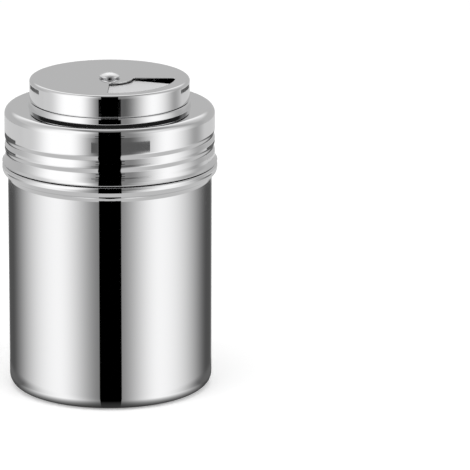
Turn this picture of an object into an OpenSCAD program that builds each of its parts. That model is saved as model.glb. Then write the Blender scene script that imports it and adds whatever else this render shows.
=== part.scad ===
// Stainless steel spice shaker: a deep-drawn jar, a screw lid with a raised sifter deck,
// and a riveted selector cap whose window turns over the deck's openings.
// Millimetres. +Z is up, the origin is the centre of the base, -Y is the front.

/* [Jar] */
// Outer diameter of the jar body
body_d = 70.2; // [66:0.1:76]
// Height of the collar's ledge, which the lid screws down to
collar_z = 79.35; // [70:0.05:90]
// Sheet thickness of the jar
jar_wall = 0.5; // [0.4:0.05:0.6]
// Outer radius of the edge between base and wall
base_round = 4; // [2.5:0.5:6]
// Width of the flat ring that the jar stands on
foot_w = 4; // [2:0.5:6]
// How far the middle of the base is pressed up
base_recess = 1; // [0.6:0.1:1.5]
// How far the collar stands out from the body
collar_out = 1.9; // [1.6:0.05:2.6]
// Height of the collar above its lower curve
collar_band = 1.7; // [1.5:0.1:3]
// Radius of the collar's lower curve, where it turns out
collar_curve = 2.4; // [2:0.1:3.4]
// Radius of the cove between the body wall and that curve
collar_cove = 2.4; // [1.5:0.1:3]
// Radius of the collar's upper edge
collar_round = 0.9; // [0.7:0.1:1.2]
// Radius of the fillet between the collar's ledge and the neck
neck_fillet = 0.9; // [0.5:0.1:1.2]
// How far the neck is set in from the body
neck_in = 0.85; // [0.5:0.05:1.2]
// Height of the neck above the collar's ledge
neck_h = 17.75; // [17:0.05:22]
// Radius of the bead rolled inwards at the mouth
bead_r = 0.9; // [0.7:0.05:1.1]

/* [Lid] */
// Sheet thickness of the lid
lid_wall = 0.5; // [0.4:0.05:0.6]
// Outer radius of the shoulder's edge
shoulder_round = 2.6; // [2.4:0.1:3.4]
// How far the rolled lower edge stands out from the skirt
hem_out = 0.85; // [0.5:0.05:0.95]
// Diameter of the bead rolled into the skirt's lower edge
hem_d = 0.9; // [0.8:0.05:1.2]
// Height of the flare above the middle of the rolled edge
flare_h = 2; // [1.8:0.1:3]
// Height of the raised deck above the shoulder
deck_h = 8.9; // [8:0.1:10.5]
// Height of the plinth at the foot of the raised deck
plinth_h = 2.1; // [1.8:0.1:2.4]
// How far the plinth stands out beyond the selector cap
plinth_out = 0.25; // [0.1:0.05:0.5]
// Angle that the plinth's side leans inwards
plinth_draft = 10; // [6:1:14]
// Radius of the fillet between shoulder and plinth
plinth_fillet = 0.3; // [0.2:0.05:0.6]
// Outer radius of the plinth's upper edge
plinth_round = 0.65; // [0.62:0.01:0.7]
// Outer radius of the raised deck's edge
deck_round = 1; // [0.8:0.1:1.3]
// Diameter of the hub that the selector cap turns on
hub_d = 12; // [11:0.5:14]
// Height of the hub above the deck
hub_h = 0.3; // [0.2:0.05:0.5]

/* [Sifter deck] */
// Angle from one station of the deck to the next
station_step = 90; // [88:1:92]
// Direction of the middle of the pouring opening
pour_at = 22.6; // [18:0.2:28]
// Angle between the pouring opening's straight edges
pour_span = 90; // [80:1:92]
// How far the straight edges are set in from the radial lines
pour_inset = 2; // [1.6:0.1:3]
// Inner radius of the pouring opening
pour_r0 = 8.6; // [8.4:0.1:10]
// Outer radius of the pouring opening
pour_r1 = 22.6; // [20:0.1:23]
// Diameter of the coarse holes
coarse_d = 4.2; // [3.5:0.1:4.6]
// Diameter of the fine holes
fine_d = 1.8; // [1.4:0.1:2]
// Number of rows of coarse holes
coarse_rows = 3; // [2:1:3]
// Number of rows of fine holes
fine_rows = 5; // [3:1:6]
// Spacing of the coarse holes along a row, in hole diameters
coarse_pitch = 1.35; // [1.3:0.05:1.8]
// Spacing of the fine holes along a row, in hole diameters
fine_pitch = 1.7; // [1.5:0.05:2.2]

/* [Selector cap] */
// Outer diameter of the selector cap
cap_d = 55; // [54:0.1:56]
// Sheet thickness of the selector cap
cap_wall = 0.5; // [0.4:0.05:0.6]
// Radial running clearance between cap and raised deck
cap_clear = 0.35; // [0.3:0.05:0.5]
// Gap between the cap's lower edge and the plinth
cap_gap = 0.3; // [0.25:0.05:0.6]
// Outer radius of the cap's top edge
cap_round = 1.1; // [0.8:0.1:1.4]
// Direction of the middle of the window at rest
window_at = -47.8; // [-52:0.2:-44]
// Angle between the window's straight edges
window_span = 90; // [80:1:92]
// How far the straight edges are set in from the radial lines
window_inset = 0.3; // [0.1:0.1:1]
// Inner radius of the window
window_r0 = 8.2; // [7.8:0.1:9]
// Outer radius of the window
window_r1 = 22.6; // [20:0.1:23.2]
// Corner radius of the window and of the pouring opening
corner_r = 0.6; // [0.4:0.1:1]

/* [Pivot] */
// Diameter of the rivet's shank
shank_d = 3; // [2.6:0.1:3.6]
// Diameter of the rivet's domed head
head_d = 7.2; // [6.6:0.1:8]
// Height of the rivet's domed head
head_h = 1.5; // [1.2:0.05:2]
// Height of the head's upright edge
head_edge = 0.4; // [0.2:0.05:0.5]
// Diameter of the rivet's closed tail
tail_d = 5; // [4.6:0.1:5.6]
// Height of the rivet's closed tail
tail_h = 0.9; // [0.6:0.1:1.2]
// Diameter of the washer under the head
head_washer_d = 6; // [5:0.1:6.4]
// Thickness of the washer under the head
head_washer_t = 0.25; // [0.2:0.05:0.5]
// Diameter of the conical spring washer
spring_d = 8; // [7:0.1:8.6]
// Thickness of the conical spring washer
spring_t = 0.3; // [0.2:0.05:0.4]
// Height that the spring washer rises from its bore to its rim
spring_rise = 0.5; // [0.3:0.05:0.7]
// Diameter of the washer at the tail
tail_washer_d = 7; // [6.5:0.1:7.6]
// Thickness of the washer at the tail
tail_washer_t = 0.5; // [0.4:0.1:0.8]

/* [Mouth seal] */
// Thickness of the mouth seal
seal_t = 1.2; // [1:0.1:1.6]
// Width of the mouth seal
seal_w = 3.4; // [3:0.1:4.5]
// Bevel on the seal's upper outer edge
seal_bevel = 0.7; // [0.5:0.1:0.8]

/* [Clearances] */
// Gap between the lid's lower edge and the collar
lid_gap = 0.3; // [0.25:0.05:0.8]
// Radial gap between neck and lid, which holds the thread
thread_gap = 1.4; // [1.3:0.05:1.9]
// Radial clearance around the rivet's shank
shank_clear = 0.05; // [0.03:0.01:0.08]
// Axial clearance at a face that another piece turns on
face_clear = 0.05; // [0.03:0.01:0.1]
// Gap between the rolled mouth and the seal
bead_clear = 0.2; // [0.1:0.05:0.3]

/* [Hidden] */
$fn = 96;
arc_steps = 8;
long_steps = 24;
past = 1;

// Jar, from the base up
body_r = body_d / 2;
collar_r = body_r + collar_out;
neck_r = body_r - neck_in;
mouth_z = collar_z + neck_h;

// Mouth seal, which the lid presses on the rolled mouth
seal_z0 = mouth_z + bead_clear;
seal_z1 = seal_z0 + seal_t;

// Lid, from its lower edge to the hub
lid_r = neck_r + thread_gap + lid_wall;
hem_r = lid_r + hem_out;
lid_z0 = collar_z + lid_gap;
shoulder_z = seal_z1 + face_clear + lid_wall;
shoulder_r = lid_r - shoulder_round;
deck_z = shoulder_z + deck_h;
hub_r = hub_d / 2;
hub_z = deck_z + hub_h;
flare_r = (hem_out * hem_out + flare_h * flare_h) / (2 * hem_out);
flare_a = asin(flare_h / flare_r);

// Selector cap, over the raised deck
cap_r = cap_d / 2;
boss_r = cap_r - cap_wall - cap_clear;
plinth_r = cap_r + plinth_out;
plinth_z = shoulder_z + plinth_h;
plinth_side_h = plinth_h - (plinth_round + plinth_fillet) * (1 - sin(plinth_draft));
plinth_foot_r = plinth_r - plinth_round * (1 - cos(plinth_draft)) + plinth_side_h * tan(plinth_draft)
                + plinth_fillet * cos(plinth_draft);
cap_z0 = plinth_z + cap_gap;
plate_z = hub_z + face_clear;
cap_z1 = plate_z + cap_wall;

// Pivot, from the rivet's head down to its tail
bore_r = shank_d / 2 + shank_clear;
head_washer_z = cap_z1 + face_clear;
head_z = head_washer_z + head_washer_t + face_clear;
spring_z1 = hub_z - lid_wall - face_clear;
spring_z0 = spring_z1 - spring_t - spring_rise;
tail_washer_z = spring_z0 - face_clear - tail_washer_t;
tail_z1 = tail_washer_z - face_clear;
dome_h = head_h - head_edge;
dome_r = (head_d * head_d / 4 + dome_h * dome_h) / (2 * dome_h);
dome_a = asin(head_d / 2 / dome_r);

// Mouth seal, between the mouth and the lid's rounded edge
seal_r1 = shoulder_r + seal_bevel;
seal_r0 = seal_r1 - seal_w;

function polar(r, a) = r * [cos(a), sin(a)];

// Points of an arc about a centre, from angle a0 to angle a1
function arc(centre, r, a0, a1, steps = arc_steps) =
    [for (i = [0:steps]) centre + polar(r, a0 + (a1 - a0) * i / steps)];

function unit(v) = v / norm(v);
function left_of(v) = [-v.y, v.x];
function reversed(path) = [for (i = [len(path) - 1:-1:0]) path[i]];
function but_first(path) = [for (i = [1:len(path) - 1]) path[i]];

// Direction of the path's stretch that starts at point i
function stretch(path, i) = unit(path[i + 1] - path[i]);

// How point i moves when the whole path shifts one unit to its left
function mitre(path, i) =
    let (last = len(path) - 1,
         before = left_of(stretch(path, max(i - 1, 0))),
         after = left_of(stretch(path, min(i, last - 1))))
    (before + after) / (1 + before * after);

function shifted(path, t) = [for (i = [0:len(path) - 1]) path[i] + t * mitre(path, i)];

// Pressed sheet turned about Z: the path is the outer face, and the metal lies on its left
module sheet_profile(path, t) {
    polygon(concat(path, reversed(shifted(path, t))));
}

// Outline between two radii and two straight edges, with rounded corners.
// The edges run at a0 and a1, each set in from its radial line.
function corner_at(r, edge_a, side, inset) = edge_a + side * asin((inset + corner_r) / r);

function fan(r0, r1, mid, span, inset) =
    let (a0 = mid - span / 2,
         a1 = mid + span / 2,
         far0 = corner_at(r1 - corner_r, a0, 1, inset),
         far1 = corner_at(r1 - corner_r, a1, -1, inset),
         near0 = corner_at(r0 + corner_r, a0, 1, inset),
         near1 = corner_at(r0 + corner_r, a1, -1, inset))
    concat(
        arc(polar(r1 - corner_r, far0), corner_r, a0 - 90, far0),
        arc([0, 0], r1, far0, far1, long_steps),
        arc(polar(r1 - corner_r, far1), corner_r, far1, a1 + 90),
        arc(polar(r0 + corner_r, near1), corner_r, a1 + 90, near1 + 180),
        arc([0, 0], r0, near1, near0, long_steps),
        arc(polar(r0 + corner_r, near0), corner_r, near0 + 180, a0 + 270));

// The collar's lower curve meets the cove above the body wall at this angle
collar_join_x = body_r + collar_cove - (collar_r - collar_curve);
collar_join_a = -acos(collar_join_x / (collar_curve + collar_cove));
collar_z0 = collar_z - collar_band;
collar_foot_z = collar_z0 + (collar_curve + collar_cove) * sin(collar_join_a);

jar_path = concat(
    [[0, base_recess],
     [body_r - base_round - foot_w - base_recess, base_recess],
     [body_r - base_round - foot_w, 0]],
    arc([body_r - base_round, base_round], base_round, -90, 0),
    arc([body_r + collar_cove, collar_foot_z], collar_cove, 180, 180 + collar_join_a),
    but_first(arc([collar_r - collar_curve, collar_z0], collar_curve, collar_join_a, 0)),
    arc([collar_r - collar_round, collar_z - collar_round], collar_round, 0, 90),
    arc([neck_r + neck_fillet, collar_z + neck_fillet], neck_fillet, 270, 180),
    [[neck_r, mouth_z - bead_r]]);

module jar_body() color("silver") rotate_extrude() {
    sheet_profile(jar_path, jar_wall);
    translate([neck_r - bead_r, mouth_z - bead_r]) circle(r = bead_r);
}

module mouth_seal() color("gainsboro") rotate_extrude()
    polygon([[seal_r0, seal_z0], [seal_r1, seal_z0], [seal_r1, seal_z1 - seal_bevel],
             [seal_r1 - seal_bevel, seal_z1], [seal_r0, seal_z1]]);

lid_path = concat(
    arc([lid_r + flare_r, lid_z0 + hem_d / 2 + flare_h], flare_r, 180 + flare_a, 180),
    arc([shoulder_r, shoulder_z - shoulder_round], shoulder_round, 0, 90),
    arc([plinth_foot_r, shoulder_z + plinth_fillet], plinth_fillet, 270, 180 + plinth_draft),
    arc([plinth_r - plinth_round, plinth_z - plinth_round], plinth_round, plinth_draft, 90),
    [[boss_r, plinth_z]],
    arc([boss_r - deck_round, deck_z - deck_round], deck_round, 0, 90),
    [[hub_r + hub_h, deck_z], [hub_r, hub_z], [0, hub_z]]);

// Rows of holes on arcs, spread over one station within the same outline as the pouring opening
module hole_rows(rows, d, pitch, mid) {
    r_in = pour_r0 + d / 2;
    r_out = pour_r1 - d / 2;
    for (row = [0:rows - 1]) {
        r = r_in + (r_out - r_in) * row / (rows - 1);
        room = pour_span / 2 - asin((pour_inset + d / 2) / r);
        steps = max(1, floor(2 * room * PI * r / 180 / (pitch * d)));
        for (i = [0:steps])
            rotate(mid - room + 2 * room * i / steps) translate([r, 0]) circle(d = d);
    }
}

module deck_openings() {
    polygon(fan(pour_r0, pour_r1, pour_at, pour_span, pour_inset));
    hole_rows(coarse_rows, coarse_d, coarse_pitch, pour_at + station_step);
    hole_rows(fine_rows, fine_d, fine_pitch, pour_at + 2 * station_step);
}

module lid_shell() color("silver") difference() {
    rotate_extrude() {
        sheet_profile(lid_path, lid_wall);
        translate([hem_r - hem_d / 2, lid_z0 + hem_d / 2]) circle(d = hem_d);
    }
    translate([0, 0, deck_z - lid_wall - past]) linear_extrude(lid_wall + 2 * past) deck_openings();
    translate([0, 0, hub_z - lid_wall - past]) cylinder(r = bore_r, h = lid_wall + 2 * past);
}

cap_path = concat(
    [[cap_r, cap_z0]],
    arc([cap_r - cap_round, cap_z1 - cap_round], cap_round, 0, 90),
    [[0, cap_z1]]);

module selector_cap() color("lightgray") difference() {
    rotate_extrude() sheet_profile(cap_path, cap_wall);
    translate([0, 0, plate_z - past]) linear_extrude(cap_wall + 2 * past)
        polygon(fan(window_r0, window_r1, window_at, window_span, window_inset));
    translate([0, 0, plate_z - past]) cylinder(r = bore_r, h = cap_wall + 2 * past);
}

rivet_path = concat(
    [[0, tail_z1 - tail_h], [tail_d / 2, tail_z1 - tail_h], [tail_d / 2, tail_z1],
     [shank_d / 2, tail_z1], [shank_d / 2, head_z], [head_d / 2, head_z]],
    arc([0, head_z + head_h - dome_r], dome_r, 90 - dome_a, 90));

module pivot_rivet() color("white") rotate_extrude() polygon(rivet_path);

module ring(d, t) difference() {
    cylinder(d = d, h = t);
    translate([0, 0, -past]) cylinder(r = bore_r, h = t + 2 * past);
}

module head_washer() color("dimgray") translate([0, 0, head_washer_z]) ring(head_washer_d, head_washer_t);

// Conical washer, low at its bore and high at its rim
module spring_washer() color("slategray") rotate_extrude()
    polygon([[bore_r, spring_z0], [spring_d / 2, spring_z1 - spring_t],
             [spring_d / 2, spring_z1], [bore_r, spring_z0 + spring_t]]);

module tail_washer() color("gray") translate([0, 0, tail_washer_z]) ring(tail_washer_d, tail_washer_t);

jar_body();
mouth_seal();
lid_shell();
selector_cap();
pivot_rivet();
head_washer();
spring_washer();
tail_washer();
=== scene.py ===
"""A polished steel spice shaker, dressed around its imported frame: jar, screw lid, selector cap and rivet."""
import math

import bpy
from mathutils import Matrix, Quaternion, Vector
from mathutils.geometry import tessellate_polygon


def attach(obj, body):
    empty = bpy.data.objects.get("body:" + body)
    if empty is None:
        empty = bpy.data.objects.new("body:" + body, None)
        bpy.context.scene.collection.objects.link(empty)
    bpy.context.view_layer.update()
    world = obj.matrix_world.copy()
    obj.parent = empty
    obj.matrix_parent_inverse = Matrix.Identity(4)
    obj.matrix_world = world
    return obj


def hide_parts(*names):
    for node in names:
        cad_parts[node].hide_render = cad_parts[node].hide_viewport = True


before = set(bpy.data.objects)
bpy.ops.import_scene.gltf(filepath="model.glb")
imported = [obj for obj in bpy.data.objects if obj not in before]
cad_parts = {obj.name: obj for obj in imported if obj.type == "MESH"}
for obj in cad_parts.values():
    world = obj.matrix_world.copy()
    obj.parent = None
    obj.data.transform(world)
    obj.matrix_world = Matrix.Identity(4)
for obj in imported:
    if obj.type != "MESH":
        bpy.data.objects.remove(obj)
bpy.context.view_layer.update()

MM = 0.001
SEGMENTS = 288  # round the axis, on every turned piece
ARC_STEP = 4.0  # degrees between the points of an arc in a section

# Jar, in millimetres
BODY_R = 35.1
COLLAR_R = 37.0
COLLAR_Z = 79.35
BASE_ROUND = 4.0
FOOT_W = 4.0
BASE_RECESS = 1.0
COLLAR_BAND = 1.7
COLLAR_CURVE = 2.4
COLLAR_COVE = 2.4
COLLAR_ROUND = 0.9
NECK_FILLET = 0.9
NECK_R = 34.25
MOUTH_Z = 97.1
BEAD_R = 0.9
SHEET = 0.5  # thickness of every pressed piece

# Lid
LID_R = 36.15
LID_Z = 79.65
SHOULDER_ROUND = 2.6
SHOULDER_Z = 99.05
HEM_R = 37.0
HEM_D = 0.9
FLARE_H = 2.0
PLINTH_R = 27.75
PLINTH_Z = 101.15
PLINTH_DRAFT = 10.0  # degrees that its side leans inwards
PLINTH_FILLET = 0.12
PLINTH_ROUND = 0.65
BOSS_R = 26.65
DECK_ROUND = 1.0
DECK_Z = 107.95
HUB_R = 6.0
HUB_H = 0.3
HUB_Z = DECK_Z + HUB_H

# Openings: three stations on the deck and the window in the cap
POUR_R0 = 8.6
POUR_R1 = 22.6
POUR_AT = 22.6
STATION_SPAN = 90.0
STATION_STEP = 90.0
POUR_INSET = 2.0
COARSE_D = 4.2
COARSE_ROWS = 3
COARSE_PITCH = 1.35
FINE_D = 1.8
FINE_ROWS = 5
FINE_PITCH = 1.7
WINDOW_R0 = 8.2
WINDOW_R1 = 22.6
WINDOW_AT = -47.8
WINDOW_INSET = 0.3
CORNER_R = 0.6
PUNCH_ROUND = 0.12  # rolled edge that the punch leaves
FLAT_RING = 0.15  # flat strip beside each bend, so that the long triangles beyond it don't tilt its normals
TRIM_ROUND = 0.08  # broken edge of trimmed sheet

# Selector cap and rivet
CAP_R = 27.5
CAP_Z0 = 101.45
CAP_Z1 = 108.8
CAP_ROUND = 1.1
BORE_R = 1.55
SHANK_R = 1.5
HEAD_R = 3.6
HEAD_Z = 109.15
HEAD_H = 1.5
HEAD_EDGE = 0.4
RIVET_SOFT = 0.12  # broken edges of its head and tail
TAIL_R = 2.5
TAIL_Z0 = 105.4
TAIL_Z1 = 106.3

# Rolled screw thread: a groove in the lid's skirt and a ridge on the jar's neck
PITCH = 4.35
GROOVE_Z = 82.0  # middle of the groove where it starts, at the back
GROOVE_TURNS = 1.72
GROOVE_DEPTH = 0.3
GROOVE_W = 3.4
RIDGE_Z = GROOVE_Z + PITCH / 2
RIDGE_TURNS = 1.05
RIDGE_HEIGHT = 1.25
RIDGE_W = 2.3
THREAD_FADE = 0.1  # turns over which each end of the thread runs out
THREAD_STEP = 0.22  # millimetres between the rings that carry it
NECK_PLAIN = 2.0  # plain neck above the collar, before those rings


# ---------------------------------------------------------------- sections

def arc(centre, radius, start, end):
    """Points of an arc in a section, angles in degrees."""
    steps = max(3, math.ceil(abs(end - start) / ARC_STEP))
    angles = [math.radians(start + (end - start) * i / steps) for i in range(steps + 1)]
    return [(centre[0] + radius * math.cos(a), centre[1] + radius * math.sin(a)) for a in angles]


def left_of(a, b):
    """Unit vector to the left of the stretch from a to b."""
    dx, dy = b[0] - a[0], b[1] - a[1]
    length = math.hypot(dx, dy)
    return -dy / length, dx / length


def shifted(path, distance):
    """The path moved to its left, with mitred corners."""
    out = []
    last = len(path) - 1
    for i, point in enumerate(path):
        first = max(i - 1, 0)
        second = min(i, last - 1)
        before = left_of(path[first], path[first + 1])
        after = left_of(path[second], path[second + 1])
        scale = distance / (1 + before[0] * after[0] + before[1] * after[1])
        out.append((point[0] + scale * (before[0] + after[0]), point[1] + scale * (before[1] + after[1])))
    return out


def refined(path, low, high, step):
    """The path with points at most step apart wherever it lies between the heights low and high."""
    out = [path[0]]
    for a, b in zip(path, path[1:]):
        inside = max(a[1], b[1]) > low and min(a[1], b[1]) < high
        parts = max(1, math.ceil(math.dist(a, b) / step)) if inside else 1
        out += [(a[0] + (b[0] - a[0]) * i / parts, a[1] + (b[1] - a[1]) * i / parts)
                for i in range(1, parts + 1)]
    return out


# ---------------------------------------------------------------- meshes

class Shell:
    """Faces that share their corners, gathered in millimetres and made into one mesh object."""

    def __init__(self):
        self.index = {}
        self.points = []
        self.faces = []

    def corner(self, point):
        key = tuple(round(c, 5) for c in point)
        if key not in self.index:
            self.index[key] = len(self.points)
            self.points.append(key)
        return self.index[key]

    def face(self, points):
        corners = []
        for point in points:
            c = self.corner(point)
            if c not in corners:
                corners.append(c)
        if len(corners) > 2:
            self.faces.append(corners)

    def strip(self, first, second, closed=True):
        """Quads between two rows of points."""
        count = len(first)
        for i in range(count if closed else count - 1):
            j = (i + 1) % count
            self.face([first[i], first[j], second[j], second[i]])

    def turn(self, path, form=None):
        """Turns a section about the axis. form moves a point of the section at a given angle."""
        rings = []
        for r, z in path:
            ring = []
            for k in range(SEGMENTS):
                a = 2 * math.pi * k / SEGMENTS
                rr = form(r, z, a) if form else r
                ring.append((rr * math.cos(a), rr * math.sin(a), z))
            rings.append(ring)
        for first, second in zip(rings, rings[1:]):
            self.strip(first, second)

    def plate(self, outlines, z, up):
        """A flat face at height z inside the first outline and outside the others."""
        loops = [[Vector((x, y, 0)) for x, y in outline] for outline in outlines]
        flat = [p for loop in loops for p in loop]
        for tri in tessellate_polygon(loops):
            a, b, c = (flat[i] for i in tri)
            if ((b - a).cross(c - a).z > 0) != up:
                b, c = c, b
            self.face([(p.x, p.y, z) for p in (a, b, c)])

    def wall(self, outline_at, top, bottom, round_r):
        """Side of a punched hole with rolled edges. outline_at gives its outline grown by a distance."""
        rows = []
        for degrees in (0, 30, 60, 90):
            a = math.radians(degrees)
            rows.append((round_r * (1 - math.sin(a)), top - round_r * (1 - math.cos(a))))
        rows.insert(0, (round_r + FLAT_RING, top))
        rows += [(grow, top + bottom - z) for grow, z in reversed(rows)]
        outlines = [[(x, y, z) for x, y in outline_at(grow)] for grow, z in rows]
        for first, second in zip(outlines, outlines[1:]):
            self.strip(second, first)

    def build(self, name, material, body, node, sharp=32):
        """Makes the object, which rides on a body, takes a finish slot and stands for a node."""
        mesh = bpy.data.meshes.new(name)
        mesh.from_pydata([tuple(c * MM for c in p) for p in self.points], [], self.faces)
        mesh.polygons.foreach_set("use_smooth", [True] * len(mesh.polygons))
        mesh.set_sharp_from_angle(angle=math.radians(sharp))
        mesh.materials.append(material)
        obj = bpy.data.objects.new(name, mesh)
        bpy.context.scene.collection.objects.link(obj)
        weighted = obj.modifiers.new("even_normals", "WEIGHTED_NORMAL")
        weighted.keep_sharp = True
        weighted.weight = 100
        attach(obj, body)
        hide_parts(node)
        return obj


def circle(x, y, radius, count):
    return [(x + radius * math.cos(2 * math.pi * k / count), y + radius * math.sin(2 * math.pi * k / count))
            for k in range(count)]


def fan(r0, r1, mid, span, inset, corner):
    """Outline between two radii and two straight edges, with rounded corners."""
    def edge(r, side):
        return mid + side * (span / 2 - math.degrees(math.asin((inset + corner) / r)))

    far0, far1 = edge(r1 - corner, -1), edge(r1 - corner, 1)
    near0, near1 = edge(r0 + corner, -1), edge(r0 + corner, 1)

    def polar(r, a):
        return r * math.cos(math.radians(a)), r * math.sin(math.radians(a))

    def bend(centre, radius, start, end, steps):
        points = []
        for i in range(steps + 1):
            x, y = polar(radius, start + (end - start) * i / steps)
            points.append((centre[0] + x, centre[1] + y))
        return points

    a0, a1 = mid - span / 2, mid + span / 2
    return (bend(polar(r1 - corner, far0), corner, a0 - 90, far0, 8)
            + bend((0, 0), r1, far0, far1, 48)[1:-1]
            + bend(polar(r1 - corner, far1), corner, far1, a1 + 90, 8)
            + bend(polar(r0 + corner, near1), corner, a1 + 90, near1 + 180, 8)
            + bend((0, 0), r0, near1, near0, 32)[1:-1]
            + bend(polar(r0 + corner, near0), corner, near0 + 180, a0 + 270, 8))


def hole_centres(rows, d, pitch, mid):
    """Centres of a station's holes, on arcs between the pouring opening's two radii."""
    centres = []
    for row in range(rows):
        r = POUR_R0 + d / 2 + (POUR_R1 - POUR_R0 - d) * row / (rows - 1)
        room = STATION_SPAN / 2 - math.degrees(math.asin((POUR_INSET + d / 2) / r))
        steps = max(1, math.floor(math.radians(2 * room) * r / (pitch * d)))
        for i in range(steps + 1):
            a = math.radians(mid - room + 2 * room * i / steps)
            centres.append((r * math.cos(a), r * math.sin(a)))
    return centres


def helix(z0, turns, height, width):
    """Form of a rolled thread that starts at the back: how far it moves a wall's radius."""
    def form(r, z, a):
        start = (a / (2 * math.pi) - 0.25) % 1
        move = 0.0
        for t in (start, start + 1):
            if t > turns + THREAD_FADE:
                continue
            u = abs(z - z0 - PITCH * t) / (width / 2)
            if u < 1:
                ends = min(1, t / THREAD_FADE, (turns + THREAD_FADE - t) / THREAD_FADE)
                ease = ends * ends * (3 - 2 * ends)
                move += height * ease * (0.5 + 0.5 * math.cos(math.pi * u))
        return r + move
    return form


# ---------------------------------------------------------------- pieces

def jar(material):
    join_x = BODY_R + COLLAR_COVE - (COLLAR_R - COLLAR_CURVE)
    join_a = -math.degrees(math.acos(join_x / (COLLAR_CURVE + COLLAR_COVE)))
    collar_z0 = COLLAR_Z - COLLAR_BAND
    foot_z = collar_z0 + (COLLAR_CURVE + COLLAR_COVE) * math.sin(math.radians(join_a))
    outer = ([(0, BASE_RECESS),
              (BODY_R - BASE_ROUND - FOOT_W - BASE_RECESS, BASE_RECESS),
              (BODY_R - BASE_ROUND - FOOT_W, 0)]
             + arc((BODY_R - BASE_ROUND, BASE_ROUND), BASE_ROUND, -90, 0)
             + arc((BODY_R + COLLAR_COVE, foot_z), COLLAR_COVE, 180, 180 + join_a)
             + arc((COLLAR_R - COLLAR_CURVE, collar_z0), COLLAR_CURVE, join_a, 0)[1:]
             + arc((COLLAR_R - COLLAR_ROUND, COLLAR_Z - COLLAR_ROUND), COLLAR_ROUND, 0, 90)
             + arc((NECK_R + NECK_FILLET, COLLAR_Z + NECK_FILLET), NECK_FILLET, 270, 180)
             + [(NECK_R, MOUTH_Z - BEAD_R)])
    outer = refined(outer, COLLAR_Z + NECK_PLAIN, RIDGE_Z + PITCH * RIDGE_TURNS + RIDGE_W, THREAD_STEP)
    inner = shifted(outer, SHEET)
    centre = (NECK_R - BEAD_R, MOUTH_Z - BEAD_R)
    meet = math.acos((BEAD_R - SHEET) / BEAD_R)
    bead = arc(centre, BEAD_R, 0, 360 - math.degrees(meet))
    shell = Shell()
    ridge = helix(RIDGE_Z, RIDGE_TURNS, RIDGE_HEIGHT, RIDGE_W)
    shell.turn(outer, ridge)
    shell.turn(bead)
    shell.turn([bead[-1]] + [p for p in reversed(inner) if p[1] < bead[-1][1]], ridge)
    return shell.build("jar_drawn", material, "jar", "jar_body")


def lid(material):
    bead_centre = (HEM_R - HEM_D / 2, LID_Z + HEM_D / 2)
    out = HEM_R - LID_R
    flare_r = (out * out + FLARE_H * FLARE_H) / (2 * out)
    flare_a = math.degrees(math.asin(FLARE_H / flare_r))
    lean = math.radians(PLINTH_DRAFT)
    side_h = PLINTH_Z - SHOULDER_Z - (PLINTH_ROUND + PLINTH_FILLET) * (1 - math.sin(lean))
    foot_r = (PLINTH_R - PLINTH_ROUND * (1 - math.cos(lean)) + side_h * math.tan(lean)
              + PLINTH_FILLET * math.cos(lean))
    skirt = (arc((LID_R + flare_r, LID_Z + HEM_D / 2 + FLARE_H), flare_r, 180 + flare_a, 180)
             + arc((LID_R - SHOULDER_ROUND, SHOULDER_Z - SHOULDER_ROUND), SHOULDER_ROUND, 0, 90)
             + arc((foot_r, SHOULDER_Z + PLINTH_FILLET), PLINTH_FILLET, 270, 180 + PLINTH_DRAFT)
             + arc((PLINTH_R - PLINTH_ROUND, PLINTH_Z - PLINTH_ROUND), PLINTH_ROUND, PLINTH_DRAFT, 90)
             + [(BOSS_R, PLINTH_Z)]
             + arc((BOSS_R - DECK_ROUND, DECK_Z - DECK_ROUND), DECK_ROUND, 0, 90)
             + [(BOSS_R - DECK_ROUND - FLAT_RING, DECK_Z)])
    top = GROOVE_Z + PITCH * (GROOVE_TURNS + THREAD_FADE) + GROOVE_W / 2
    skirt = refined(skirt, LID_Z + HEM_D, top, THREAD_STEP)
    hub = [(HUB_R + HUB_H + FLAT_RING, DECK_Z), (HUB_R + HUB_H, DECK_Z),
           (HUB_R, HUB_Z), (BORE_R + TRIM_ROUND, HUB_Z)]
    path = skirt + hub
    inner = shifted(path, SHEET)
    edge = len(skirt)
    groove = helix(GROOVE_Z, GROOVE_TURNS, -GROOVE_DEPTH, GROOVE_W)

    shell = Shell()
    outside = [p for p in path[:edge] if math.dist(p, bead_centre) > HEM_D / 2]
    inside = [p for p in inner[:edge] if math.dist(p, bead_centre) > HEM_D / 2]
    ends = [math.degrees(math.atan2(p[1] - bead_centre[1], p[0] - bead_centre[0]))
            for p in (inside[0], outside[0])]
    bead = arc(bead_centre, HEM_D / 2, ends[0], ends[1] + 360)
    shell.turn(list(reversed(inside)) + bead + outside, groove)
    shell.turn(path[edge:])
    shell.turn(list(reversed(inner[edge:])))
    shell.turn([path[-1], inner[-1]])

    holes = [(lambda grow: fan(POUR_R0 - grow, POUR_R1 + grow, POUR_AT, STATION_SPAN,
                               POUR_INSET - grow, CORNER_R + grow))]
    for rows, d, pitch, step in ((COARSE_ROWS, COARSE_D, COARSE_PITCH, 1),
                                 (FINE_ROWS, FINE_D, FINE_PITCH, 2)):
        for x, y in hole_centres(rows, d, pitch, POUR_AT + step * STATION_STEP):
            holes.append(lambda grow, x=x, y=y, d=d: circle(x, y, d / 2 + grow, 32))
    for z, rim, foot, up in ((DECK_Z, path[edge - 1], path[edge], True),
                             (DECK_Z - SHEET, inner[edge - 1], inner[edge], False)):
        rings = [circle(0, 0, rim[0], SEGMENTS), circle(0, 0, foot[0], SEGMENTS)]
        shell.plate(rings + [hole(PUNCH_ROUND + FLAT_RING) for hole in holes], z, up)
    for hole in holes:
        shell.wall(hole, DECK_Z, DECK_Z - SHEET, PUNCH_ROUND)
    return shell.build("lid_pressed", material, "lid", "lid_shell")


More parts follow.
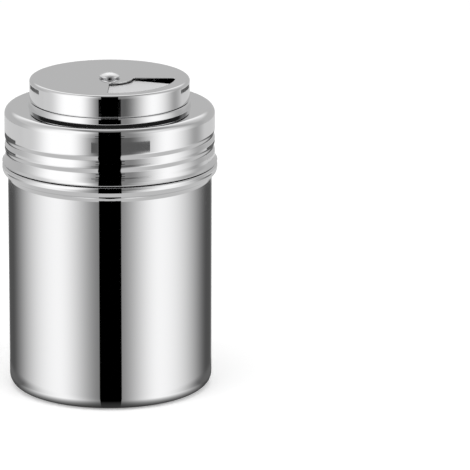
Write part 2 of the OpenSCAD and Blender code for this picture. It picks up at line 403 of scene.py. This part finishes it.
def selector(material):
    skirt = ([(CAP_R, CAP_Z0 + TRIM_ROUND)]
             + arc((CAP_R - CAP_ROUND, CAP_Z1 - CAP_ROUND), CAP_ROUND, 0, 90)
             + [(CAP_R - CAP_ROUND - FLAT_RING, CAP_Z1)])
    inner = shifted(skirt, SHEET)
    shell = Shell()
    shell.turn(skirt)
    shell.turn(list(reversed(inner)))
    shell.turn([inner[0], (CAP_R - SHEET + TRIM_ROUND, CAP_Z0), (CAP_R - TRIM_ROUND, CAP_Z0), skirt[0]])
    holes = [lambda grow: fan(WINDOW_R0 - grow, WINDOW_R1 + grow, WINDOW_AT, STATION_SPAN,
                              WINDOW_INSET - grow, CORNER_R + grow),
             lambda grow: circle(0, 0, BORE_R + grow, 48)]
    for z, rim, up in ((CAP_Z1, skirt[-1], True), (CAP_Z1 - SHEET, inner[-1], False)):
        outlines = [circle(0, 0, rim[0], SEGMENTS)] + [hole(PUNCH_ROUND + FLAT_RING) for hole in holes]
        shell.plate(outlines, z, up)
    for hole in holes:
        shell.wall(hole, CAP_Z1, CAP_Z1 - SHEET, PUNCH_ROUND)
    return shell.build("cap_pressed", material, "selector", "selector_cap")


def rivet(material):
    dome_h = HEAD_H - HEAD_EDGE
    dome_r = (HEAD_R * HEAD_R + dome_h * dome_h) / (2 * dome_h)
    dome_a = math.degrees(math.asin(HEAD_R / dome_r))
    soft = RIVET_SOFT
    path = ([(0, TAIL_Z0), (TAIL_R - soft, TAIL_Z0), (TAIL_R, TAIL_Z0 + soft), (TAIL_R, TAIL_Z1),
             (SHANK_R, TAIL_Z1), (SHANK_R, HEAD_Z), (HEAD_R - soft, HEAD_Z), (HEAD_R, HEAD_Z + soft)]
            + arc((0, HEAD_Z + HEAD_H - dome_r), dome_r, 90 - dome_a, 90))
    shell = Shell()
    shell.turn(path)
    return shell.build("rivet_headed", material, "lid", "pivot_rivet")


# ---------------------------------------------------------------- materials

def node(tree, kind, inputs=None, **settings):
    """A node with its settings and its unlinked or linked inputs."""
    made = tree.nodes.new("ShaderNode" + kind)
    for key, value in settings.items():
        setattr(made, key, value)
    for key, value in (inputs or {}).items():
        socket = made.inputs[key]
        if isinstance(value, bpy.types.NodeSocket):
            tree.links.new(value, socket)
        else:
            socket.default_value = value
    return made


def math_node(tree, operation, *values):
    return node(tree, "Math", dict(enumerate(values)), operation=operation).outputs[0]


STEEL_COLOR = (0.80, 0.80, 0.805)
LINES_ALONG = 25.0  # noise per metre along the polishing lines, and across them
LINES_ACROSS = 2600.0
SMEARS = 70.0
GRAIN_SHARE = 0.4  # of the roughness; the smears make up the rest
NOISE_LOW, NOISE_HIGH = 0.3, 0.7  # where most of the noise lies
SATIN_AND_SHEEN_Z = DECK_Z - 0.3  # the deck's satin finish and its painted sheen begin here
SATIN_ROUGH = 0.35
# painted sheen: the satin deck's lighter colour stands in for its brighter reflection
SATIN_SHEEN_COLOR = (0.89, 0.89, 0.895, 1)


def steel(name, color, rough_low, rough_high, line_depth, flat_lines, satin_and_sheen_above=None):
    """Polished stainless steel, with fine lines round the axis where it was spun and polished.

    Above the given height, in millimetres, it has a rougher satin finish and a painted sheen: a lighter colour
    that stands in for brighter reflection.
    """
    material = bpy.data.materials.new(name)
    material.use_nodes = True
    tree = material.node_tree
    shader = tree.nodes["Principled BSDF"]
    shader.inputs["Base Color"].default_value = (*color, 1)
    shader.inputs["Metallic"].default_value = 1
    place = node(tree, "TexCoord").outputs["Object"]
    split = node(tree, "SeparateXYZ", {"Vector": place})
    x, y, z = split.outputs
    radius = math_node(tree, "SQRT", math_node(tree, "ADD", math_node(tree, "MULTIPLY", x, x),
                                               math_node(tree, "MULTIPLY", y, y)))
    across = radius if flat_lines else z
    # slow along the line, fast across it
    lines = node(tree, "CombineXYZ", {
        "X": math_node(tree, "MULTIPLY", x, LINES_ALONG),
        "Y": math_node(tree, "MULTIPLY", y, LINES_ALONG),
        "Z": math_node(tree, "MULTIPLY", math_node(tree, "ADD", across, z), LINES_ACROSS)})
    grain = node(tree, "TexNoise", {"Vector": lines.outputs[0], "Scale": 1.0, "Detail": 3.0})
    smears = node(tree, "TexNoise", {"Vector": place, "Scale": SMEARS, "Detail": 4.0, "Roughness": 0.6})
    mixed = math_node(tree, "ADD", math_node(tree, "MULTIPLY", grain.outputs["Fac"], GRAIN_SHARE),
                      math_node(tree, "MULTIPLY", smears.outputs["Fac"], 1 - GRAIN_SHARE))
    rough = node(tree, "MapRange", {"Value": mixed, "From Min": NOISE_LOW, "From Max": NOISE_HIGH,
                                    "To Min": rough_low, "To Max": rough_high})
    roughness = rough.outputs[0]
    if satin_and_sheen_above:
        # above that height: satin roughness, and a painted sheen that lightens the colour
        satin_and_sheen = math_node(tree, "GREATER_THAN", z, satin_and_sheen_above * MM)
        roughness = math_node(tree, "MULTIPLY_ADD", satin_and_sheen, SATIN_ROUGH, roughness)
        tone = node(tree, "MixRGB", {"Fac": satin_and_sheen, "Color1": (*color, 1), "Color2": SATIN_SHEEN_COLOR})
        tree.links.new(tone.outputs[0], shader.inputs["Base Color"])
    tree.links.new(roughness, shader.inputs["Roughness"])
    bump = node(tree, "Bump", {"Height": grain.outputs["Fac"], "Strength": 1.0, "Distance": line_depth * MM})
    tree.links.new(bump.outputs[0], shader.inputs["Normal"])
    return material


RUBBER_ROUGH = 0.6
RUBBER_MOTTLE = 900.0
RUBBER_DARK = 0.9  # of its colour, in the darkest spots
RUBBER_GRAIN = 0.00003  # metres


def rubber(name, color):
    material = bpy.data.materials.new(name)
    material.use_nodes = True
    tree = material.node_tree
    shader = tree.nodes["Principled BSDF"]
    place = node(tree, "TexCoord").outputs["Object"]
    mottle = node(tree, "TexNoise", {"Vector": place, "Scale": RUBBER_MOTTLE, "Detail": 3.0})
    dark = [c * RUBBER_DARK for c in color]
    tone = node(tree, "MixRGB", {"Fac": mottle.outputs["Fac"], "Color1": (*dark, 1), "Color2": (*color, 1)})
    tree.links.new(tone.outputs[0], shader.inputs["Base Color"])
    shader.inputs["Roughness"].default_value = RUBBER_ROUGH
    bump = node(tree, "Bump", {"Height": mottle.outputs["Fac"], "Strength": 0.5, "Distance": RUBBER_GRAIN})
    tree.links.new(bump.outputs[0], shader.inputs["Normal"])
    return material


def recolour(name, material):
    """Gives a carried-over node its material."""
    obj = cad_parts[name]
    for slot in obj.material_slots:
        slot.material = material


# ---------------------------------------------------------------- studio

STEEL_REFLECTS = 0.80  # how much of the surroundings' light the polished steel gives back


def seen_as(tone):
    """Light that polished steel shows as this tone, from 0 to 255."""
    c = tone / 255
    linear = c / 12.92 if c <= 0.04045 else ((c + 0.055) / 1.055) ** 2.4
    return linear / STEEL_REFLECTS


# Edges of the soft boxes and walls in degrees from the front. A box has where it begins, is full, begins to
# fade and has faded, and a wall has where it begins and is full.
SHEET_BOX = (5, 60, 60, 145)
SHEET_TURN = -2  # the sheet lies turned a little to the left
SHEET_REAR = (157, 200)
REAR_LINE = (178, 180)
LEFT_BOX = (10, 45, 65, 115)
RIGHT_BOX = (20, 65, 65, 125)
LEFT_WALL = (75, 110)
RIGHT_WALL = (100, 130)
HIGH_REAR = (130, 175)
BEHIND_EDGE = (120, 135)

# The tones that steel shows of them: the sheet that the shaker stands on, then the room at eye level, above
# it and high up, each with its front gap, its walls, and the boxes at its left and right
SHEET_TONES = {"gap": 115, "walls": 75, "box": 245, "rear": 235, "line": 255}
HALL_TONES = {"gap": 90, "walls": 195, "left": 255, "right": 250}
MIDDLE_TONES = {"gap": 125, "walls": 175, "left": 255, "right": 250}
UPPER_TONES = {"gap": 125, "walls": 190, "left": 250, "right": 225}
HIGH_REAR_TONE = 245
LOW_TONE = 185
# painted contact shade on the card by the foot, where the floor meets the jar
CONTACT_SHADE_TONE = 50
FLAG_TONE = 85
CEILING_TONE = 120
BEHIND_HIGH_TONE = 215
BEHIND_FRONT_TONE = 30
BEHIND_BACK_TONE = 105

# Heights above the level, in degrees, over which one part of the studio gives way to the next. The
# ceiling's edge slants to the right.
ROOM_FROM = {"sheet": (-24, -18), "hall": (-14.82, -14.78), "middle": (-13.4, -11.0), "upper": (18, 30)}
CEILING_FROM = (52, 76)
CEILING_SLANT = 12.0

# What steel shows of the studio in other steel: it is dark from the first pair of heights and pale from the
# second
AGAIN_FROM = (18, 21)
AGAIN_PALE_FROM = (38, 41)
AGAIN_DEPTH = 1.5  # between one meeting with steel and two
MATT_LIGHT = 0.55  # the studio's light on what isn't a mirror

# How the card by the foot repeats the sheet and the strip: the radii, in millimetres, over which it comes
# in and clears, how much further round than the card the steel looks, the last angle that it follows, and
# the strip's half width at the axis and its spread
FOOT_INNER = (32, 42)
FOOT_OUTER = (44, 52)
FOOT_LOOK = 1.75
FOOT_LAST = 135
FOOT_STRIP_HALF = 3.77
FOOT_STRIP_SPREAD = 0.214

# The black strip up the middle: its middle, half width and soft edge as seen in the steel, how much wider
# it is at the heights that the cap's side and the bend under it show, and where it ends above the shaker
STRIP_MIDDLE = -0.0005
STRIP_HALF = 0.1075
STRIP_SOFT = 0.003
STRIP_WIDER = 0.03
STRIP_WIDER_AT = [((-14.16, -14.06), (-13.2, -12.8)), ((1, 2), (9, 10))]
STRIP_END = (74, 82)
LEVEL_AT_EYE = 0.963  # cosine of the camera's rise


# Dark flags by the place on the wall that shows them: its radius, lowest and highest point, first and last
# angle from the front
FLAGS = [("flag_near_right", LID_R, 91.3, 95.0, 6.5, 22.0),
         ("flag_near_left", LID_R, 91.3, 95.0, -10.0, -6.5),
         ("flag_far_left", LID_R, 84.6, 90.9, -84, -62.5),
         ("flag_far_right", LID_R, 85.8, 88.6, 66, 84),
         ("flag_cap_left", CAP_R, 106.3, 107.7, -80, -61),
         ("flag_cap_right", CAP_R, 106.3, 107.7, 62, 80)]


def above(tree, value, low, high):
    """From 0 to 1 as the value rises from low to high."""
    step = node(tree, "MapRange", {"Value": value, "From Min": low, "From Max": high},
                interpolation_type="SMOOTHSTEP")
    return step.outputs[0]


def blend(tree, fac, low, high):
    made = node(tree, "Mix", {0: fac, 2: low, 3: high}, data_type="FLOAT")
    return made.outputs[0]


def box(tree, angle, edges):
    """How full a soft box is at an angle."""
    begins, full, fades, faded = edges
    return math_node(tree, "SUBTRACT", above(tree, angle, begins, full), above(tree, angle, fades, faded))


def sheet_light(tree, around):
    """The sheet's light at an angle from its middle, the same on both sides."""
    walls = above(tree, around, SHEET_BOX[2], SHEET_BOX[3])
    light = blend(tree, walls, seen_as(SHEET_TONES["gap"]), seen_as(SHEET_TONES["walls"]))
    light = blend(tree, box(tree, around, SHEET_BOX), light, seen_as(SHEET_TONES["box"]))
    light = blend(tree, above(tree, around, *SHEET_REAR), light, seen_as(SHEET_TONES["rear"]))
    return blend(tree, above(tree, around, *REAR_LINE), light, seen_as(SHEET_TONES["line"]))


def room_light(tree, left, right, tones):
    """The room's light at one level, by the angle to the left and to the right."""
    walls = math_node(tree, "ADD", above(tree, left, *LEFT_WALL), above(tree, right, *RIGHT_WALL))
    light = blend(tree, walls, seen_as(tones["gap"]), seen_as(tones["walls"]))
    light = blend(tree, box(tree, left, LEFT_BOX), light, seen_as(tones["left"]))
    return blend(tree, box(tree, right, RIGHT_BOX), light, seen_as(tones["right"]))


def studio_world():
    """White to the camera; in reflections, the sheet, the room, the ceiling and the black strip."""
    world = bpy.data.worlds.new("studio")
    world.use_nodes = True
    bpy.context.scene.world = world
    tree = world.node_tree
    background = tree.nodes["Background"]
    direction = node(tree, "SeparateXYZ", {"Vector": node(tree, "TexCoord").outputs["Generated"]})
    x, y, z = direction.outputs
    turn = math_node(tree, "ARCTAN2", x, math_node(tree, "MULTIPLY", y, -1.0))
    right = math_node(tree, "MULTIPLY", turn, math.degrees(1))
    left = math_node(tree, "MULTIPLY", right, -1.0)
    around = math_node(tree, "ABSOLUTE", right)
    rise = math_node(tree, "MULTIPLY", math_node(tree, "ARCSINE", z), math.degrees(1))
    level = math_node(tree, "SQRT", math_node(tree, "SUBTRACT", 1.0, math_node(tree, "MULTIPLY", z, z)))

    sheet = sheet_light(tree, math_node(tree, "ABSOLUTE", math_node(tree, "SUBTRACT", right, SHEET_TURN)))
    upper = room_light(tree, left, right, UPPER_TONES)
    upper = blend(tree, above(tree, around, *HIGH_REAR), upper, seen_as(HIGH_REAR_TONE))
    room = blend(tree, above(tree, rise, *ROOM_FROM["sheet"]), seen_as(LOW_TONE), sheet)
    for part, light in (("hall", room_light(tree, left, right, HALL_TONES)),
                        ("middle", room_light(tree, left, right, MIDDLE_TONES)),
                        ("upper", upper)):
        room = blend(tree, above(tree, rise, *ROOM_FROM[part]), room, light)
    slanted = math_node(tree, "MULTIPLY_ADD", x, CEILING_SLANT, rise)
    room = blend(tree, above(tree, slanted, *CEILING_FROM), room, seen_as(CEILING_TONE))

    width = math_node(tree, "DIVIDE", x, math_node(tree, "ADD", level, LEVEL_AT_EYE))
    off = math_node(tree, "ABSOLUTE", math_node(tree, "SUBTRACT", width, STRIP_MIDDLE))
    for start, end in STRIP_WIDER_AT:
        inside = math_node(tree, "SUBTRACT", above(tree, rise, *start), above(tree, rise, *end))
        off = math_node(tree, "MULTIPLY_ADD", inside, -STRIP_WIDER, off)
    clear = above(tree, off, STRIP_HALF - STRIP_SOFT, STRIP_HALF + STRIP_SOFT)
    clear = math_node(tree, "MAXIMUM", clear, above(tree, rise, *STRIP_END))
    clear = math_node(tree, "MAXIMUM", clear, math_node(tree, "GREATER_THAN", y, 0.0))
    room = math_node(tree, "MULTIPLY", room, clear)

    path = node(tree, "LightPath").outputs
    again = math_node(tree, "GREATER_THAN", path["Glossy Depth"], AGAIN_DEPTH)
    behind = blend(tree, above(tree, around, *BEHIND_EDGE),
                   seen_as(BEHIND_FRONT_TONE), seen_as(BEHIND_BACK_TONE))
    behind = blend(tree, above(tree, rise, *AGAIN_PALE_FROM), behind, seen_as(BEHIND_HIGH_TONE))
    room = blend(tree, math_node(tree, "MULTIPLY", again, above(tree, rise, *AGAIN_FROM)), room, behind)

    light = blend(tree, path["Is Glossy Ray"], MATT_LIGHT, room)
    plain = math_node(tree, "MAXIMUM", path["Is Camera Ray"], path["Is Transmission Ray"])
    light = blend(tree, plain, light, 1.0)
    tree.links.new(light, background.inputs["Strength"])
    background.inputs["Color"].default_value = (1, 1, 1, 1)


CARD_POINTS = 96
FLOOR_CARD_Z = -0.2
FOOT_CARD = (30, 52)  # inner and outer radius
COLLAR_CARD = (BODY_R + 0.6, 44)  # the same, clear of the jar
COLLAR_CARD_Z = 73.9
FLAG_STEPS = 12


def card(name, outline, hole, z, material):
    """A flat card in millimetres that only reflections show."""
    shell = Shell()
    shell.plate([outline] + ([hole] if hole else []), z, True)
    mesh = bpy.data.meshes.new(name)
    mesh.from_pydata([tuple(c * MM for c in p) for p in shell.points], [], shell.faces)
    mesh.materials.append(material)
    obj = bpy.data.objects.new(name, mesh)
    bpy.context.scene.collection.objects.link(obj)
    obj.visible_camera = False
    obj.visible_diffuse = False
    obj.visible_shadow = False
    obj.visible_transmission = False


def card_material(name, tone, clear_from=None, clear_to=None):
    """A card that glows at one tone, and clears from one radius to another where they are given."""
    material = bpy.data.materials.new(name)
    material.use_nodes = True
    tree = material.node_tree
    tree.nodes.remove(tree.nodes["Principled BSDF"])
    glow = node(tree, "Emission", {"Color": (1, 1, 1, 1), "Strength": seen_as(tone)}).outputs[0]
    if clear_to:
        place = node(tree, "NewGeometry").outputs["Position"]
        radius = node(tree, "VectorMath", {0: place}, operation="LENGTH")
        clear = node(tree, "MapRange", {"Value": radius.outputs["Value"], "From Min": clear_from * MM,
                                        "From Max": clear_to * MM}, interpolation_type="SMOOTHSTEP")
        glow = node(tree, "MixShader", {0: clear.outputs[0], 1: glow,
                                        2: node(tree, "BsdfTransparent").outputs[0]}).outputs[0]
    tree.links.new(glow, tree.nodes["Material Output"].inputs["Surface"])
    return material


def foot_material():
    """The floor by the foot as the steel shows it: painted contact shade where floor and foot meet, then the
    sheet and the strip.
    """
    material = card_material("foot_tones", CONTACT_SHADE_TONE, *FOOT_OUTER)
    tree = material.node_tree
    glow = next(n for n in tree.nodes if n.type == "EMISSION")
    place = node(tree, "NewGeometry").outputs["Position"]
    x, y, _ = node(tree, "SeparateXYZ", {"Vector": place}).outputs
    turn = math_node(tree, "ARCTAN2", x, math_node(tree, "MULTIPLY", y, -1.0))
    look = math_node(tree, "MULTIPLY", math_node(tree, "ABSOLUTE", turn), FOOT_LOOK * math.degrees(1))
    sheet = sheet_light(tree, math_node(tree, "MINIMUM", look, FOOT_LAST))
    beside = math_node(tree, "MULTIPLY_ADD", y, FOOT_STRIP_SPREAD, math_node(tree, "ABSOLUTE", x))
    sheet = math_node(tree, "MULTIPLY", sheet, math_node(tree, "GREATER_THAN", beside, -FOOT_STRIP_HALF * MM))
    radius = node(tree, "VectorMath", {0: place}, operation="LENGTH").outputs["Value"]
    # painted contact shade near the foot, giving way to the sheet's reflection further out
    out = above(tree, radius, *[edge * MM for edge in FOOT_INNER])
    tree.links.new(blend(tree, out, seen_as(CONTACT_SHADE_TONE), sheet), glow.inputs["Strength"])
    return material


def cards():
    """The floor by the foot and the pale card under the collar."""
    foot_hole, foot_edge = [circle(0, 0, radius, CARD_POINTS) for radius in FOOT_CARD]
    card("card_foot", foot_edge, foot_hole, FLOOR_CARD_Z, foot_material())
    collar_hole, collar_edge = [circle(0, 0, radius, CARD_POINTS) for radius in COLLAR_CARD]
    card("card_collar", collar_edge, collar_hole, COLLAR_CARD_Z, card_material("pale_card", LOW_TONE))


def shown_floor(radius, angle, z):
    """The point of the floor that an upright wall shows the camera, by the wall's angle and height."""
    eye = Vector((0, -math.cos(CAMERA_RISE), math.sin(CAMERA_RISE))) * (CAMERA_DISTANCE / MM)
    eye.z += AIM_Z / MM
    outward = Vector((math.sin(math.radians(angle)), -math.cos(math.radians(angle)), 0))
    place = radius * outward + Vector((0, 0, z))
    ray = (place - eye).reflect(outward)
    place -= ray * (z / ray.z)
    return place.x, place.y


def flags():
    """Dark flags lying on the floor, which the upright walls of the lid and the cap reflect."""
    for name, radius, low, high, start, end in FLAGS:
        angles = [start + (end - start) * k / FLAG_STEPS for k in range(FLAG_STEPS + 1)]
        outline = ([shown_floor(radius, a, low) for a in angles]
                   + [shown_floor(radius, a, high) for a in reversed(angles)])
        card(name, outline, None, FLOOR_CARD_Z, card_material(name + "_tone", FLAG_TONE))


FLOOR_HALF = 6.0
FLOOR_COLOR = (0.8, 0.8, 0.8, 1)
FLOOR_GLOW = 0.3


def floor():
    """White floor that keeps the shaker's soft shadow."""
    size = FLOOR_HALF
    mesh = bpy.data.meshes.new("floor")
    corners = [(-size, -size, 0), (size, -size, 0), (size, size, 0), (-size, size, 0)]
    mesh.from_pydata(corners, [], [(0, 1, 2, 3)])
    obj = bpy.data.objects.new("floor", mesh)
    bpy.context.scene.collection.objects.link(obj)
    obj.visible_glossy = False
    material = bpy.data.materials.new("white_floor")
    material.use_nodes = True
    tree = material.node_tree
    tree.nodes.remove(tree.nodes["Principled BSDF"])
    matt = node(tree, "BsdfDiffuse", {"Color": FLOOR_COLOR})
    glow = node(tree, "Emission", {"Color": (1, 1, 1, 1), "Strength": FLOOR_GLOW})
    both = node(tree, "AddShader", {0: matt.outputs[0], 1: glow.outputs[0]})
    tree.links.new(both.outputs[0], tree.nodes["Material Output"].inputs["Surface"])
    mesh.materials.append(material)


# Lamps by their place and width, in metres, and their watts
LAMPS = [("lamp_top", (0.0, -0.3, 1.4), 1.2, 9),
         ("lamp_left", (-1.2, -0.6, 0.8), 0.8, 5),
         ("lamp_right", (1.2, -0.6, 0.8), 0.8, 5)]


def lamp(name, place, size, watts):
    """A soft square lamp aimed at the middle of the shaker."""
    data = bpy.data.lights.new(name, "AREA")
    data.size = size
    data.energy = watts
    obj = bpy.data.objects.new(name, data)
    obj.location = place
    obj.rotation_mode = "QUATERNION"
    obj.rotation_quaternion = (Vector((0, 0, AIM_Z)) - Vector(place)).to_track_quat("-Z", "Y")
    obj.visible_glossy = False
    obj.visible_camera = False
    bpy.context.scene.collection.objects.link(obj)


# The photograph's view: the camera's rise above the middle it turns about, its distance in metres and its
# lens, the middle's height, how far right and up of it the camera aims, and its roll
CAMERA_RISE = math.radians(15.58)
CAMERA_DISTANCE = 1.558
CAMERA_LENS = 344.7
SENSOR_WIDTH = 36
AIM_Z = 0.0506
AIM_RIGHT = 0.0432
AIM_UP = 0.00187
CAMERA_ROLL = 0.0035


def camera():
    """The shaker on the left, seen from a little above."""
    data = bpy.data.cameras.new("camera")
    data.sensor_width = SENSOR_WIDTH
    data.lens = CAMERA_LENS
    obj = bpy.data.objects.new("camera", data)
    middle = Vector((0, 0, AIM_Z))
    obj.location = middle + CAMERA_DISTANCE * Vector((0, -math.cos(CAMERA_RISE), math.sin(CAMERA_RISE)))
    up = Vector((0, math.sin(CAMERA_RISE), math.cos(CAMERA_RISE)))
    aim = middle + AIM_RIGHT * Vector((1, 0, 0)) + AIM_UP * up
    obj.rotation_mode = "QUATERNION"
    level = (aim - obj.location).to_track_quat("-Z", "Y")
    obj.rotation_quaternion = level @ Quaternion((0, 0, 1), CAMERA_ROLL)
    bpy.context.scene.collection.objects.link(obj)
    bpy.context.scene.camera = obj


jar(steel("jar_steel_look", STEEL_COLOR, 0.015, 0.04, 0.00004, False))
lid(steel("lid_steel_look", STEEL_COLOR, 0.01, 0.03, 0.00003, True, SATIN_AND_SHEEN_Z))
selector(steel("cap_steel_look", STEEL_COLOR, 0.01, 0.04, 0.00004, True))
rivet(steel("rivet_steel_look", (0.82, 0.82, 0.825), 0.2, 0.26, 0.00003, True))
washer_look = steel("washer_steel_look", (0.6, 0.6, 0.61), 0.2, 0.3, 0.0001, True)
for name in ("head_washer", "spring_washer", "tail_washer"):
    recolour(name, washer_look)
recolour("mouth_seal", rubber("seal_rubber_look", (0.86, 0.86, 0.84)))

studio_world()
floor()
cards()
flags()
for settings in LAMPS:
    lamp(*settings)
camera()

bpy.context.scene.view_settings.view_transform = "Standard"
